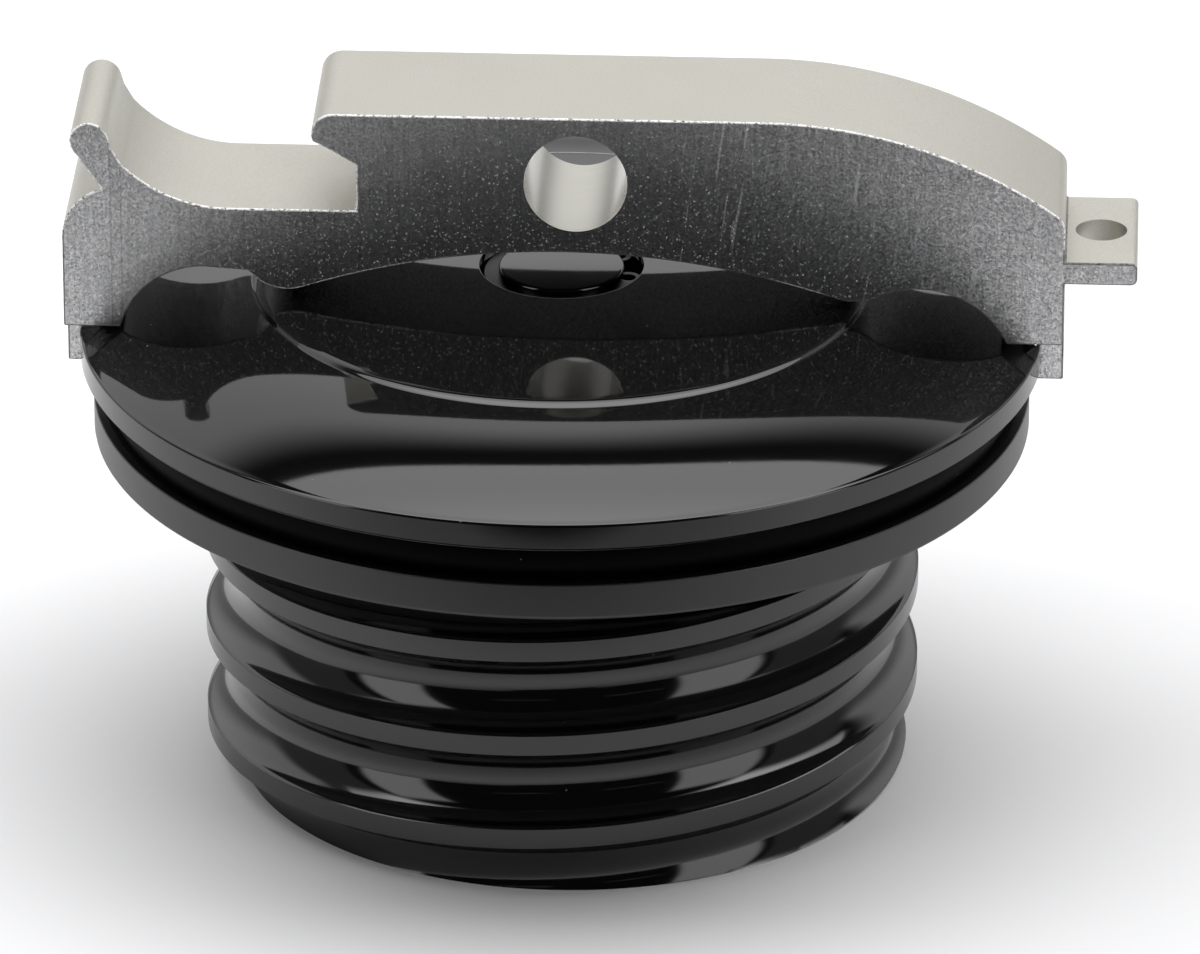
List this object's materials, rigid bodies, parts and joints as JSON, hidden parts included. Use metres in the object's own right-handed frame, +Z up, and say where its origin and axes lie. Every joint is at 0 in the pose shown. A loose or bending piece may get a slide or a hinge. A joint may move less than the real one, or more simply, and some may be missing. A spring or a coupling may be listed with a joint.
{
  "type": "flush mount screw cap",
  "caption": "Domed flush mount screw cap with a coarse threaded plug and seal, carrying a bar-shaped key across its top.",
  "frame": {"origin": "on the screw axis, at the top face of the seating flange", "axes": "+Z up along the screw axis, out of the tank; +X along the key towards its ring tab"},
  "size_m": [0.083, 0.075, 0.0564],
  "materials": {
    "black_anodised": "gloss black anodised",
    "black_plug": "gloss black anodised, turned",
    "seal_rubber": "satin",
    "dark_spring_steel": "blackened",
    "pin_steel": "ground",
    "bare_aluminium": "tumbled top, sawn sides"
  },
  "bodies": {
    "root": {"cap_disc": "black_anodised", "threaded_plug": "black_plug", "seal_ring": "seal_rubber", "circlip": "dark_spring_steel", "drive_pins": "pin_steel", "key_bar": "bare_aluminium"}
  },
  "joints": []
}
